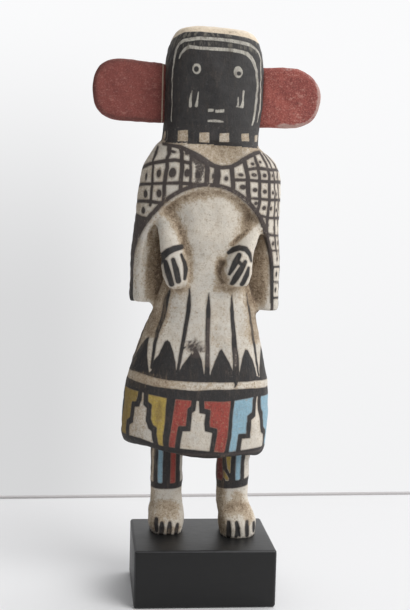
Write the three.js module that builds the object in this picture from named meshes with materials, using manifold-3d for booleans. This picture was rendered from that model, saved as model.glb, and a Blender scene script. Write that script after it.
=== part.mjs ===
// A carved and painted kachina doll standing on a black wooden plinth.
// Units are millimetres. X runs to the viewer's right, the doll faces -Y and Z is up.
// The origin is the middle of the plinth's underside.

import * as THREE from 'three';
import { RoundedBoxGeometry } from 'three/addons/geometries/RoundedBoxGeometry.js';
import { mergeVertices } from 'three/addons/utils/BufferGeometryUtils.js';
import Module from 'manifold-3d';

const wasm = await Module();
wasm.setup();

// ---- driving dimensions ----

const PLINTH = { width: 73, depth: 58, height: 30.2, edge: 1.6 };

const SOLE = PLINTH.height;   // the soles stand on the plinth
const ANKLE = SOLE + 15.5;
const HEM = SOLE + 46.5;      // lower edge of the dress
const FLARE = HEM + 14;       // where the skirt is widest
const CAPE_HEM = SOLE + 121.5;
const SHOULDER = SOLE + 206;
const MASK_BASE = SHOULDER + 0.6;   // the mask overhangs the neckline
const CROWN = SOLE + 265.2;   // top of the mask

const AXIS_Y = 7;             // the doll stands a little behind the plinth's middle
const LEAN = { skirt: -0.085, cape: -0.05, mask: -0.035 };   // the rings drop towards +X

// The opening at the front of the cape: an arch on slightly splayed sides, and the pocket
// behind it, which narrows from a given depth back to its floor.
const ARCH = { middle: -1.9, halfWidth: 34.6, spring: CAPE_HEM + 18, rise: 43.5, splay: 0.04 };
const POCKET = { front: -40, narrowsFrom: -12, floor: 9, narrowing: 0.3 };

const EAR = { thickness: 8.4, rim: 2.4, rootX: 16, middleY: AXIS_Y + 1, gap: 0.3 };

// ---- shared shaping helpers ----

// One horizontal section: its height, the middle and width across, its front and back,
// how square it is (2 is an ellipse) and how much it drops towards +X.
function ring(height, middle, width, front, back, square = 2.4, lean = 0) {
  return { height, middle, width, front, back, square, lean };
}

// A slope for a smooth curve that never swings past its own points.
function easySlope(before, here, after) {
  return (here - before) * (after - here) > 0 ? (after - before) / 2 : 0;
}

function easyCurve(values, place) {
  const last = values.length - 1;
  const i = Math.min(Math.floor(place), last - 1);
  const t = place - i;
  const from = values[i];
  const to = values[i + 1];
  const leave = easySlope(values[Math.max(i - 1, 0)], from, to);
  const arrive = easySlope(from, to, values[Math.min(i + 2, last)]);
  const a = 2 * (from - to) + leave + arrive;
  const b = 3 * (to - from) - 2 * leave - arrive;
  return ((a * t + b) * t + leave) * t + from;
}

function ringAt(rings, place) {
  const mixed = {};
  for (const key of Object.keys(rings[0])) {
    mixed[key] = easyCurve(rings.map((each) => each[key]), place);
  }
  return mixed;
}

const squared = (value, square) => Math.sign(value) * Math.abs(value) ** (2 / square);

// A closed form that passes smoothly through the rings, from the lowest to the highest.
function loft(rings, around, steps, grow = 0) {
  const rows = (rings.length - 1) * steps;
  const geometry = new THREE.CylinderGeometry(1, 1, rows, around, rows);
  geometry.rotateX(Math.PI / 2);
  const position = geometry.attributes.position;
  for (let i = 0; i < position.count; i += 1) {
    const section = ringAt(rings, (position.getZ(i) + rows / 2) / steps);
    const side = squared(position.getX(i), section.square);
    const depth = squared(position.getY(i), section.square);
    const middleY = (section.front + section.back) / 2;
    const x = section.middle + side * (section.width / 2 + grow);
    const y = middleY + depth * ((section.back - section.front) / 2 + grow);
    const z = section.height + section.lean * (x - section.middle);
    position.setXYZ(i, x, y, z);
  }
  return solid(geometry);
}

function solid(geometry) {
  geometry.deleteAttribute('normal');
  geometry.deleteAttribute('uv');
  const merged = mergeVertices(geometry, 1e-4);
  const vertProperties = new Float32Array(merged.attributes.position.array);
  const triVerts = new Uint32Array(merged.index.array);
  return new wasm.Manifold(new wasm.Mesh({ numProp: 3, vertProperties, triVerts }));
}

function geometryOf(form) {
  const { vertProperties, triVerts } = form.getMesh();
  const geometry = new THREE.BufferGeometry();
  geometry.setAttribute('position', new THREE.BufferAttribute(vertProperties, 3));
  geometry.setIndex(new THREE.BufferAttribute(triVerts, 1));
  geometry.computeVertexNormals();
  return geometry;
}

function ellipsoid(centre, radii, around = 24) {
  const geometry = new THREE.SphereGeometry(1, around, around / 2);
  geometry.scale(...radii);
  geometry.translate(...centre);
  return solid(geometry);
}

// ---- the mask ----

const maskRings = [
  ring(MASK_BASE, 0.2, 49.4, -13.2, 26.6, 3, LEAN.mask),
  ring(MASK_BASE + 10, 0.7, 49.6, -13.8, 27.2, 3, LEAN.mask),
  ring(MASK_BASE + 26, 1.5, 50.8, -14.2, 27.6, 3, LEAN.mask),
  ring(MASK_BASE + 37, 1.5, 50.8, -14, 27.6, 3, LEAN.mask),
  ring(CROWN - 12, 1.6, 48.6, -13, 26.6, 3, LEAN.mask),
  ring(CROWN - 6, 1.8, 44.6, -11.6, 25, 3, LEAN.mask),
  ring(CROWN - 2.6, 1.6, 40.6, -9.6, 23, 3, LEAN.mask),
  ring(CROWN - 0.8, 1.2, 35, -6.2, 20, 3, LEAN.mask),
  ring(CROWN, 0.8, 25, -2, 15, 3, LEAN.mask),
];

// ---- the cape ----

const capeRings = [
  ring(CAPE_HEM, -1.4, 76.4, -12.6, 26.6, 2.3, LEAN.cape),
  ring(CAPE_HEM + 3, -1.4, 78, -13, 27, 2.3, LEAN.cape),
  ring(CAPE_HEM + 18, -1.3, 77.6, -14.4, 28, 2.3, LEAN.cape),
  ring(CAPE_HEM + 36, -0.8, 76.2, -15.8, 28.4, 2.3, LEAN.cape),
  ring(CAPE_HEM + 52, 0.2, 75.2, -16.8, 28.4, 2.4, LEAN.cape),
  ring(SHOULDER - 22, 0.8, 74, -17, 28, 2.5, LEAN.cape),
  ring(SHOULDER - 12.5, 1.4, 71, -16, 26.6, 2.5, LEAN.cape),
  ring(SHOULDER - 5.5, 1.4, 63.4, -14.6, 24.8, 2.6, LEAN.cape),
  ring(SHOULDER - 1.5, 0.4, 55.2, -13.8, 24, 2.8, LEAN.cape),
  ring(SHOULDER + 3, 0, 42, -11.6, 22, 3, LEAN.cape),
];

// The space between the cape's edges and the body, open at the front and below.
function capePocket() {
  const outline = new THREE.Shape();
  const foot = CAPE_HEM - 20;
  const footHalf = ARCH.halfWidth + ARCH.splay * (ARCH.spring - foot);
  outline.moveTo(ARCH.middle - footHalf, foot);
  outline.lineTo(ARCH.middle + footHalf, foot);
  outline.lineTo(ARCH.middle + ARCH.halfWidth, ARCH.spring);
  outline.absellipse(ARCH.middle, ARCH.spring, ARCH.halfWidth, ARCH.rise, 0, Math.PI);
  const geometry = new THREE.ExtrudeGeometry(outline, {
    depth: POCKET.floor - POCKET.front,
    steps: 12,
    curveSegments: 24,
    bevelEnabled: false,
  });
  geometry.rotateX(Math.PI / 2);
  geometry.translate(0, POCKET.floor, 0);
  const position = geometry.attributes.position;
  const narrowLength = POCKET.floor - POCKET.narrowsFrom;
  for (let i = 0; i < position.count; i += 1) {
    const inward = Math.max(0, position.getY(i) - POCKET.narrowsFrom) / narrowLength;
    const shrink = 1 - POCKET.narrowing * inward ** 2;
    position.setX(i, ARCH.middle + (position.getX(i) - ARCH.middle) * shrink);
    position.setZ(i, ARCH.spring + (position.getZ(i) - ARCH.spring) * shrink);
  }
  return solid(geometry);
}

function cape() {
  const neckScoop = ellipsoid([4.6, -18.4, SHOULDER + 5], [25, 8, 17], 32);
  return loft(capeRings, 42, 3).subtract(capePocket()).subtract(neckScoop);
}

// ---- the dress: belly and skirt ----

const dressRings = [
  ring(HEM, -4.8, 71.6, -13, 27, 2.3, LEAN.skirt),
  ring(HEM + 2.2, -4.8, 76, -15, 29, 2.3, LEAN.skirt),
  ring(HEM + 6, -4.7, 77.6, -16.4, 30.4, 2.3, LEAN.skirt),
  ring(FLARE, -4.2, 77.8, -17, 31, 2.3, LEAN.skirt),
  ring(FLARE + 14, -3.4, 76.8, -16.8, 30.8, 2.3, LEAN.skirt),
  ring(FLARE + 28, -2.4, 72.2, -16, 30, 2.3, LEAN.skirt),
  ring(FLARE + 45, -1.7, 63, -15, 28, 2.3, LEAN.skirt),
  ring(CAPE_HEM, -0.6, 53.2, -14.6, 25, 2.3, LEAN.cape),
  ring(CAPE_HEM + 14, -0.9, 45, -15.2, 20, 2.2, LEAN.cape),
  ring(CAPE_HEM + 30, -1, 41, -16.2, 20, 2.2, LEAN.cape),
  ring(CAPE_HEM + 46, -0.6, 45, -16, 20, 2.3, LEAN.cape),
  ring(CAPE_HEM + 62, 0, 52, -14.6, 20, 2.4, LEAN.cape),
];

// ---- arms, legs and feet ----

const rightArmRings = [
  ring(CAPE_HEM + 11, -17, 7, -16.5, -11, 2.2),
  ring(CAPE_HEM + 13.5, -17.2, 11, -19.4, -8, 2.3),
  ring(CAPE_HEM + 20, -18.4, 13.6, -20.6, -6, 2.3),
  ring(CAPE_HEM + 27, -19.2, 12.4, -19.6, -5, 2.2),
  ring(CAPE_HEM + 36, -20.6, 11.4, -16.8, -4, 2.2),
  ring(CAPE_HEM + 45, -22.4, 11.4, -12.8, -2, 2.2),
  ring(CAPE_HEM + 53, -23, 10, -9, 0, 2.2),
];

const leftArmRings = [
  ring(CAPE_HEM + 12.5, 14.4, 8, -18.6, -12, 2.2),
  ring(CAPE_HEM + 15, 13.8, 13.4, -21.6, -8, 2.3),
  ring(CAPE_HEM + 22, 13.2, 16.4, -22.8, -6, 2.4),
  ring(CAPE_HEM + 29, 15.6, 13.2, -21, -5, 2.2),
  ring(CAPE_HEM + 35, 18.4, 11.6, -17.4, -4, 2.2),
  ring(CAPE_HEM + 42, 21, 10.6, -12.4, -2, 2.2),
  ring(CAPE_HEM + 50, 22, 9, -8, 0, 2.2),
];

// A foot and the leg above it; toes and heel are where the foot ends at the front and back.
function leg({ foot, footWidth, shin, shinWidth, toes, heel, front, back }) {
  const instep = (foot + shin) / 2;
  return loft([
    ring(SOLE, foot, footWidth - 1.6, toes + 0.9, heel - 0.6, 2.7),
    ring(SOLE + 1.6, foot, footWidth, toes, heel, 2.7),
    ring(SOLE + 6, foot, footWidth + 1.4, toes + 0.2, heel, 2.6),
    ring(SOLE + 10, foot, footWidth + 0.8, toes + 2.2, heel - 0.6, 2.5),
    ring(SOLE + 13.5, instep, footWidth - 0.4, front - 1, back + 0.4, 2.4),
    ring(ANKLE + 1, shin, shinWidth - 0.6, front + 0.6, back, 2.4),
    ring(ANKLE + 10, shin, shinWidth - 0.2, front + 0.4, back, 2.4),
    ring(HEM + 8, shin, shinWidth, front, back, 2.4),
  ], 20, 2);
}

const rightLegSizes = {
  foot: -18.1,
  footWidth: 18.4,
  shin: -18.1,
  shinWidth: 17.6,
  toes: -2.2,
  heel: 23.6,
  front: 3.4,
  back: 22,
};

const leftLegSizes = {
  foot: 19.1,
  footWidth: 18.2,
  shin: 17.2,
  shinWidth: 18,
  toes: -9.4,
  heel: 17.4,
  front: -1.6,
  back: 17,
};

function figure() {
  return cape()
    .add(loft(dressRings, 42, 2))
    .add(loft(maskRings, 36, 2))
    .add(loft(rightArmRings, 16, 2))
    .add(loft(leftArmRings, 16, 2))
    .add(leg(rightLegSizes))
    .add(leg(leftLegSizes));
}

// ---- ears ----

// A flat paddle: its root ends against the side of the mask and its free end is round.
// slope is how much earlier its top edge starts to fall than its bottom edge rises.
function ear(tip, top, bottom, slope) {
  const outline = new THREE.Shape();
  const out = Math.sign(tip);
  const root = out * EAR.rootX;
  const radius = (top - bottom) / 2;
  const level = (top + bottom) / 2;
  const roundFrom = tip - out * radius * 0.95;
  outline.moveTo(root, bottom + EAR.rim);
  outline.lineTo(root, top - EAR.rim);
  outline.lineTo(roundFrom, top - EAR.rim);
  outline.bezierCurveTo(
    tip - out * (radius * 0.35 + slope), top - EAR.rim,
    tip - out * EAR.rim, level + radius * 0.55,
    tip - out * EAR.rim, level,
  );
  outline.bezierCurveTo(
    tip - out * EAR.rim, level - radius * 0.5,
    tip - out * radius * 0.35, bottom + EAR.rim,
    roundFrom, bottom + EAR.rim,
  );
  const geometry = new THREE.ExtrudeGeometry(outline, {
    depth: EAR.thickness - 2 * EAR.rim,
    curveSegments: 10,
    bevelSize: EAR.rim,
    bevelThickness: EAR.rim,
    bevelSegments: 3,
  });
  geometry.rotateX(Math.PI / 2);
  geometry.translate(0, EAR.middleY + EAR.thickness / 2 - EAR.rim, 0);
  return solid(geometry).subtract(loft(maskRings, 36, 2, EAR.gap));
}

// ---- the finished object ----

const root = new THREE.Group();

function place(name, geometry, color, roughness) {
  const material = new THREE.MeshStandardMaterial({ color, roughness, metalness: 0 });
  const mesh = new THREE.Mesh(geometry, material);
  mesh.name = name;
  root.add(mesh);
  return mesh;
}

place('figure', geometryOf(figure()), 0xc8beaf, 0.8);
place('right_ear', geometryOf(ear(-61, CROWN - 16.5, CROWN - 48.2, 0)), 0x874641, 0.75);
place('left_ear', geometryOf(ear(57.7, CROWN - 17.5, CROWN - 49.2, 3)), 0xa05046, 0.75);

const block = new RoundedBoxGeometry(PLINTH.width, PLINTH.depth, PLINTH.height, 2, PLINTH.edge);
block.deleteAttribute('normal');
block.deleteAttribute('uv');
const plinth = place('plinth', mergeVertices(block, 1e-4), 0x1c1c1e, 0.5);
plinth.geometry.computeVertexNormals();
plinth.position.z = PLINTH.height / 2;

export default root;
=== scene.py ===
"""The carved surface, paint, light and camera for a kachina doll on a black plinth."""

import math
import bmesh
import bpy
import numpy as np
from mathutils import Matrix, Vector, kdtree


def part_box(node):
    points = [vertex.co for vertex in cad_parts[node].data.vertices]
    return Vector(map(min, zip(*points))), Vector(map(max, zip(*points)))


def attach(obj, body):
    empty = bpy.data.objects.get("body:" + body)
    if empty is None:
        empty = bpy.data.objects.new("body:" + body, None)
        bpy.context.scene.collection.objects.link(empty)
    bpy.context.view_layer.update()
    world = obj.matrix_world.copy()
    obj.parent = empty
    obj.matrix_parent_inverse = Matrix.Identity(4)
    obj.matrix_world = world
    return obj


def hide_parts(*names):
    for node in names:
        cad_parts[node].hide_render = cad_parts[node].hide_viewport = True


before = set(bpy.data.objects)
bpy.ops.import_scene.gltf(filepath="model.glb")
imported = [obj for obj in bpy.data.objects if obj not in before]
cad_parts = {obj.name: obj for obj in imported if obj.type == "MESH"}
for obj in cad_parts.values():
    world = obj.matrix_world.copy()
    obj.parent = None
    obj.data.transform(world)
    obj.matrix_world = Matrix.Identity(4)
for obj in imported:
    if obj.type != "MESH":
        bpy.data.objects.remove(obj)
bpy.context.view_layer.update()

MM = 0.001
FAR = 9.0  # a signed distance that means nowhere near, in millimetres
FIGURE_GRAIN, EAR_GRAIN = 1.09, 0.6  # the size of each skin's quads, in millimetres

# ---- levels and depths, in millimetres ----

PLINTH_LOW, PLINTH_HIGH = [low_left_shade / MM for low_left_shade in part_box("plinth")]
SOLE = PLINTH_HIGH.z
HEM = SOLE + 46.5
CAPE_HEM = SOLE + 121.5
WRIST = CAPE_HEM + 30
SHOULDER = SOLE + 206
MASK_BASE = SHOULDER + 0.6
BROW = MASK_BASE + 46.6
AXIS_Y = 7.0

# The cape's arched opening, seen from the front, and the pocket behind it, front to back.
ARCH = dict(middle=-1.9, half=34.6, spring=CAPE_HEM + 18, rise=43.5, splay=0.04)
POCKET_START, POCKET_FLOOR = -7.0, 9.0


# ---- unrolled surfaces ----


def signed_power(value, power):
    return np.sign(value) * np.abs(value) ** power


class Wrap:
    """Unrolls a rounded body into millimetres round it from its front and height up it."""

    def __init__(self, rings, lean, depth, slimming, square, aspect, middle_y=AXIS_Y):
        self.heights, self.middles, self.halves = np.array(rings, float).T
        self.lean, self.depth, self.slimming = lean, depth, slimming
        self.square, self.middle_y = square, middle_y
        self.turns = np.linspace(-math.pi, math.pi, 721)
        across = signed_power(np.sin(self.turns), 2 / square)
        along = aspect * signed_power(np.cos(self.turns), 2 / square)
        steps = np.hypot(np.diff(across), np.diff(along))
        arc = np.concatenate([[0.0], np.cumsum(steps)])
        self.arc = arc - arc[len(arc) // 2]

    def unroll(self, co):
        """Distance round, height along the lean, and how far out from the middle line."""
        x, y, z = co.T
        middle = np.interp(z, self.heights, self.middles)
        half = np.interp(z, self.heights, self.halves)
        depth = self.depth * (half / self.halves.max()) ** self.slimming
        side = (x - middle) / half
        front = (self.middle_y - y) / depth
        power = self.square / 2
        turn = np.arctan2(signed_power(side, power), signed_power(front, power))
        reach = np.abs(side) ** self.square + np.abs(front) ** self.square
        around = half * np.interp(turn, self.turns, self.arc)
        return around, z - self.lean * (x - middle), reach ** (1 / self.square)


# Each ring is a height, the middle and the half width.
DRESS_RINGS = [
    (HEM, -4.8, 35.8), (HEM + 3, -4.8, 38.2), (HEM + 14, -4.2, 38.9),
    (HEM + 28, -3.4, 38.4), (HEM + 42, -2.4, 36.1), (HEM + 59, -1.7, 31.5),
    (CAPE_HEM, -0.6, 26.6), (CAPE_HEM + 14, -0.9, 22.5),
    (CAPE_HEM + 30, -1, 20.5), (CAPE_HEM + 62, -0.3, 23),
]
CAPE_RINGS = [
    (CAPE_HEM, -1.4, 38.2), (CAPE_HEM + 18, -1.3, 38.8), (CAPE_HEM + 36, -0.8, 38.1),
    (CAPE_HEM + 52, 0.2, 37.6), (SHOULDER - 22, 0.8, 37), (SHOULDER - 12.5, 1.4, 35.5),
    (SHOULDER - 5.5, 1.4, 31.7), (SHOULDER - 1.5, 0.4, 27.6), (SHOULDER + 3, 0, 22),
]
MASK_RINGS = [
    (MASK_BASE, 0.2, 24.7), (MASK_BASE + 10, 0.7, 24.8), (MASK_BASE + 26, 1.5, 25.4),
    (MASK_BASE + 37, 1.5, 25.4), (BROW, 1.6, 24.3), (BROW + 6, 1.8, 22.3),
    (BROW + 9.4, 1.6, 20.3), (BROW + 11.6, 1.2, 17),
]
DRESS = Wrap(DRESS_RINGS, lean=-0.085, depth=24, slimming=0.45, square=2.3, aspect=0.615)
CAPE = Wrap(CAPE_RINGS, lean=-0.05, depth=22.5, slimming=0.5, square=2.4, aspect=0.585)
MASK = Wrap(MASK_RINGS, lean=-0.035, depth=20.8, slimming=0.6, square=3, aspect=0.82)
RIGHT_LEG = Wrap(
    [(SOLE, -18.1, 8.8), (HEM, -18.1, 8.8)],
    lean=0, depth=9.2, slimming=1, square=2.4, aspect=1.05, middle_y=12.7,
)
LEFT_LEG = Wrap(
    [(SOLE, 17.2, 9), (HEM, 17.2, 9)],
    lean=0, depth=9.2, slimming=1, square=2.4, aspect=1.03, middle_y=7.7,
)


# ---- signed distances of painted shapes, in millimetres, below zero inside ----


def from_stretch(u, v, start, end):
    """How far each point is from a straight stretch, and the share along it that is nearest."""
    du, dv = end[0] - start[0], end[1] - start[1]
    across, up = u - start[0], v - start[1]
    t = np.clip((across * du + up * dv) / max(du * du + dv * dv, 1e-9), 0, 1)
    return np.hypot(across - t * du, up - t * dv), t


def stroke(u, v, points, widths):
    """A brush stroke through the points, as wide at each as the widths say."""
    widths = np.broadcast_to(np.array(widths, float), len(points))
    nearest = np.full(len(u), FAR * 9)
    for start, end, wide, next_wide in zip(points, points[1:], widths, widths[1:]):
        gap, t = from_stretch(u, v, start, end)
        nearest = np.minimum(nearest, gap - (wide + (next_wide - wide) * t) / 2)
    return nearest


def patch(u, v, corners):
    """A flat shape with these corners."""
    nearest = np.full(len(u), FAR * 9)
    inside = np.zeros(len(u), bool)
    for start, end in zip(corners, corners[1:] + corners[:1]):
        nearest = np.minimum(nearest, from_stretch(u, v, start, end)[0])
        rise = end[1] - start[1]
        if rise:
            crosses = (start[1] > v) != (end[1] > v)
            inside ^= crosses & (u < start[0] + (v - start[1]) / rise * (end[0] - start[0]))
    return np.where(inside, -nearest, nearest)


def oval(u, v, centre, radii):
    reach = np.hypot((u - centre[0]) / radii[0], (v - centre[1]) / radii[1])
    return (reach - 1) * min(radii)


def bar(value, low, high):
    """A stripe between two values of one coordinate; the limits may be arrays."""
    return np.maximum(low - value, value - high)


def line_at(points, place):
    """The height of a line of points at a place along it."""
    return np.interp(place, *np.array(points, float).T)


def arch_distance(x, z):
    """How far a point is outside the cape's opening, seen from the front."""
    foot = CAPE_HEM - 20
    foot_half = ARCH["half"] + ARCH["splay"] * (ARCH["spring"] - foot)
    corners = [
        (ARCH["middle"] + ARCH["half"] * math.cos(t), ARCH["spring"] + ARCH["rise"] * math.sin(t))
        for t in np.linspace(0, math.pi, 41)
    ]
    corners += [(ARCH["middle"] - foot_half, foot), (ARCH["middle"] + foot_half, foot)]
    return patch(x, z, corners)


# How far the opening's painted edge strays from the carved one, by height above the cape's hem.
LEFT_STRAY = [(0, 3), (9, 2.8), (14, 2.2), (20, 1.3), (38, 1.2), (50, 0.2)]
RIGHT_STRAY = [(0, -1.5), (25, -1.9), (38, -2.2), (46, -1.1), (56, -0.7), (62, 0)]


def painted_edge(x, z):
    """How far a point is outside the opening's painted edge."""
    up = z - CAPE_HEM
    stray = np.where(x < ARCH["middle"], line_at(LEFT_STRAY, up), line_at(RIGHT_STRAY, up))
    return arch_distance(x, z) - stray


def ripple(co, size, seed, waves=28):
    """An uneven field of about plus and minus one, with humps of the given size."""
    rng = np.random.default_rng(seed)
    directions = rng.normal(size=(waves, 3))
    directions /= np.linalg.norm(directions, axis=1, keepdims=True)
    lengths = size * rng.uniform(0.8, 1.8, waves)
    phases = rng.uniform(0, 2 * math.pi, waves)
    bends = co @ (directions / lengths[:, None]).T * 2 * math.pi + phases
    return np.sin(bends).sum(axis=1) / math.sqrt(waves / 2)


def ease(value, low, high):
    """Rises smoothly from nought at low to one at high."""
    t = np.clip((value - low) / (high - low), 0, 1)
    return t * t * (3 - 2 * t)


def fade(value, low, high):
    """Falls smoothly from one at low to nought at high."""
    return 1 - ease(value, low, high)


# ---- mesh helpers ----


def new_piece(name, mesh):
    piece = bpy.data.objects.new(name, mesh)
    bpy.context.scene.collection.objects.link(piece)
    return piece


def crease_tree(bm, sharp_degrees, step=0.8):
    """Points along the sharp edges, in millimetres, for finding what is near a crease."""
    points = []
    for edge in bm.edges:
        if len(edge.link_faces) == 2 and edge.calc_face_angle(0) > math.radians(sharp_degrees):
            a, b = edge.verts[0].co / MM, edge.verts[1].co / MM
            count = max(1, int((b - a).length / step))
            points += [a.lerp(b, i / count) for i in range(count + 1)]
    tree = kdtree.KDTree(len(points))
    for i, point in enumerate(points):
        tree.insert(point, i)
    tree.balance()
    return tree


def even_skin(node, name, grain, sharp_degrees):
    """A closed mesh of even quads over a CAD node, and each point's distance from a crease."""
    bm = bmesh.new()
    bm.from_mesh(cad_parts[node].data)
    bmesh.ops.remove_doubles(bm, verts=bm.verts, dist=1e-6)
    creases = crease_tree(bm, sharp_degrees)
    mesh = bpy.data.meshes.new(name)
    bm.to_mesh(mesh)
    bm.free()
    piece = new_piece(name, mesh)
    remesh = piece.modifiers.new("even skin", "REMESH")
    remesh.mode = "VOXEL"
    remesh.voxel_size = grain * MM
    depsgraph = bpy.context.evaluated_depsgraph_get()
    piece.data = bpy.data.meshes.new_from_object(piece.evaluated_get(depsgraph))
    piece.modifiers.clear()
    from_crease = [creases.find(Vector(point))[2] for point in get_points(piece.data)]
    return piece, np.array(from_crease)


def get_points(mesh):
    co = np.empty(len(mesh.vertices) * 3)
    mesh.vertices.foreach_get("co", co)
    return co.reshape(-1, 3) / MM


def set_points(mesh, co):
    mesh.vertices.foreach_set("co", (co * MM).astype(np.float32).ravel())
    mesh.update()


def get_normals(mesh):
    normals = np.empty(len(mesh.vertices) * 3)
    mesh.vertex_normals.foreach_get("vector", normals)
    return normals.reshape(-1, 3)


def get_edges(mesh):
    edges = np.empty(len(mesh.edges) * 2, np.int64)
    mesh.edges.foreach_get("vertices", edges)
    return edges.reshape(-1, 2)


def relax(values, edges, rounds, weight=1.0):
    """Moves each point's values part of the way to its neighbours' mean, round by round."""
    count = len(values)
    degree = np.bincount(edges.ravel(), minlength=count)[:, None]
    weight = np.broadcast_to(weight, count)[:, None]
    for _ in range(rounds):
        sums = [
            np.bincount(edges[:, 0], values[edges[:, 1], k], count)
            + np.bincount(edges[:, 1], values[edges[:, 0], k], count)
            for k in range(values.shape[1])
        ]
        values = values + 0.5 * weight * (np.stack(sums, axis=1) / degree - values)
    return values


def refine(mesh, chosen):
    """Splits the edges between chosen vertices, for finer paint and carving there."""
    bm = bmesh.new()
    bm.from_mesh(mesh)
    bm.verts.ensure_lookup_table()
    edges = [e for e in bm.edges if chosen[e.verts[0].index] and chosen[e.verts[1].index]]
    bmesh.ops.subdivide_edges(bm, edges=edges, cuts=1, use_grid_fill=True)
    bm.to_mesh(mesh)
    bm.free()


def set_attribute(mesh, name, values):
    made = mesh.attributes.new(name, "FLOAT", "POINT")
    made.data.foreach_set("value", values.astype(np.float32))


def shade_smooth(mesh):
    mesh.polygons.foreach_set("use_smooth", np.ones(len(mesh.polygons), bool))
    mesh.update()


# ---- the figure's carved surface ----

# How far the cut hem dips below level across the front.
HEM_DIP = [
    (-38, 0), (-30, 1.0), (-21, -0.6), (-8, -2.1), (-2, -2.3), (5, -1.9), (16, -1.3),
    (26, -0.5), (31, 0.3), (37, 0),
]
# How far the hips are trimmed in on the doll's right, by height above the cape's hem.
HIP_TRIM = [(-31, 0), (-25, 0.2), (-19, 0.4), (-14, 0.5), (-9, 0.6), (-4, 0.5), (0, 0.2)]
# A cut over the right foot, and a crack in the belly.
ANKLE_NICK = [(-27, SOLE + 15), (-22, SOLE + 16.2), (-16, SOLE + 16), (-10, SOLE + 14.2)]
BELLY_CRACK = [(-12.6, CAPE_HEM + 58), (-16, CAPE_HEM + 44), (-9.6, CAPE_HEM + 24)]
# Brown marks seen from the front, some grime and some painted shade on shaded sides of the hips, hands and
# legs, in the crease by the arm and under the hands:
# a line of points, a width and a strength. The wood has crumbled where the first ones lie.
CRUMBLED = [
    ([(-23, 206), (-21.6, 199.9), (-18.6, 194.5), (-15.2, 189), (-11.6, 181)], 5, 0.7),
    ([(3.3, 212.4), (11.8, 209), (17.6, 203), (19.6, 195.4)], 5, 0.6),
    ([(20, 194), (15.8, 190.2), (10.5, 186)], 2.2, 1.0),
    ([(5.4, 176), (4.8, 171.8), (6.6, 167.4)], 4.5, 1.0),
    ([(27, 184), (25.6, 180)], 3, 1.0),
    ([(-31.2, 190), (-30.6, 186)], 2.4, 1.0),
]
STAINS_AND_SHADE = [
    ([(-24.6, 202), (-16.1, 208), (-8.5, 211.4), (0, 212.6)], 6, 0.6),
    ([(26.6, 191), (28.7, 177), (28.4, 160)], 7, 0.65),
    ([(-30.4, 189), (-27.5, 177.8), (-25.5, 164), (-27, 156)], 4.5, 0.85),
    ([(3.3, 163.6), (11.4, 162.8)], 4, 0.6),
    ([(-11.2, 180), (-10.6, 168)], 4, 0.55),
    ([(-19, 162), (-12, 163.5)], 3.5, 0.55),
    ([(-24, 160), (-29, 148), (-36, 132), (-42, 118)], 8, 0.8),
    ([(-44, 113), (-34, 112.6)], 7, 0.8),
    # On the feet and legs: brown instep marks, and painted shade down the shaded side of each leg.
    ([(-23, SOLE + 9), (-21, SOLE + 13), (-15, SOLE + 12)], 8, 0.75),
    ([(-20, SOLE + 2), (-13, SOLE + 2)], 5, 0.7),
    ([(-27.4, SOLE + 3), (-27, SOLE + 30), (-27, SOLE + 45)], 6, 0.9),
    ([(10, SOLE + 3), (10.4, SOLE + 24), (9.8, SOLE + 32), (9.6, SOLE + 44)], 5, 1.0),
    ([(13, SOLE + 14), (19, SOLE + 15.5), (24, SOLE + 13)], 6.5, 0.95),
    ([(19, SOLE + 21.5), (20.4, SOLE + 20)], 5.5, 0.8),
    ([(26, SOLE + 11), (25, SOLE + 9)], 4.5, 0.8),
]


def carved_figure():
    piece, from_crease = even_skin("figure", "carved_figure", FIGURE_GRAIN, 26)
    mesh = piece.data
    edges = get_edges(mesh)
    co = fill_pocket(get_points(mesh))
    co = relax(co, edges, 16, ease(from_crease, 0.8, 4.0))
    co = relax(co, edges, 3, 0.6)
    set_points(mesh, flat_soles(co))
    refine(mesh, needs_fine_paint(co))
    co = flat_soles(relax(get_points(mesh), get_edges(mesh), 2, 0.5))
    set_points(mesh, co)
    set_points(mesh, whittle(co, get_normals(mesh)))
    shade_smooth(mesh)
    return piece


def flat_soles(co):
    co[:, 2] = np.where(co[:, 2] < SOLE + 0.5, SOLE, co[:, 2])
    return co


def fill_pocket(co):
    """Brings the hollow beside the arms forward, where the carver left more wood."""
    x, y, z = co.T
    inside = ease(-arch_distance(x, z), 0.6, 3.5) * (z < SHOULDER) * (z > CAPE_HEM - 2)
    depth = np.maximum(y - POCKET_START, 0)
    co[:, 1] = y - inside * depth * (y < POCKET_FLOOR + 1) * 0.55
    return co


def needs_fine_paint(co):
    x, y, z = co.T
    face = (z > MASK_BASE - 1) & (z < BROW + 8.4) & (y < -4)
    net = (z > SHOULDER - 38) & (z <= MASK_BASE) & (y < 1) & (arch_distance(x, z) > -2)
    hands = (z > CAPE_HEM + 9) & (z < WRIST + 6) & (y < -14) & (np.abs(x) > 7)
    toes = (z < SOLE + 11) & (y < 3)
    leaves = (z > HEM + 30) & (z < HEM + 54) & (y < -6)
    panels = (z > HEM + 4) & (z <= HEM + 30) & (y < -4)
    return face | net | hands | toes | leaves | panels


def whittle(co, normals):
    """Hand trimming, small humps all over, and the cuts."""
    humps = 0.16 * ripple(co, 14, 1) + 0.08 * ripple(co, 5, 2)
    off_sole = ease(co[:, 2], SOLE + 0.5, SOLE + 3)
    trim(co)
    return co + normals * ((humps - cut_depth(co)) * off_sole)[:, None]


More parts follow.
